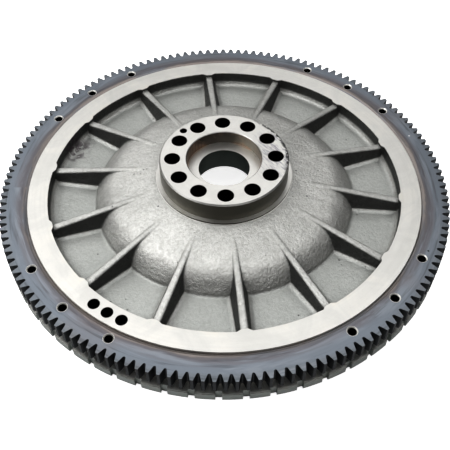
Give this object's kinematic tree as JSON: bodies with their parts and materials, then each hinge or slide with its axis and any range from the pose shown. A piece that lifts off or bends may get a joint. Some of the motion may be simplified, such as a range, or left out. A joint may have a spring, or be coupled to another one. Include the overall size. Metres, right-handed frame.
{
  "type": "flywheel with starter ring gear",
  "caption": "Ribbed cast-iron truck engine flywheel with a bolted crank boss, a flat clutch face, a slotted trigger band and a shrunk-on starter ring gear.",
  "frame": {"origin": "on the crankshaft axis, in the plane of the boss face that bolts to the crankshaft", "axes": "+Z along the shaft axis towards the engine, so the clutch side faces down; +X through one crank bolt hole"},
  "size_m": [0.486, 0.486, 0.0735],
  "materials": {
    "cast_iron": "sand-cast web and pockets, bright turned faces",
    "ring_steel": "induction-hardened steel with blue and straw heat tint"
  },
  "bodies": {
    "root": {"flywheel_casting": "cast_iron", "starter_ring_gear": "ring_steel"}
  },
  "joints": []
}
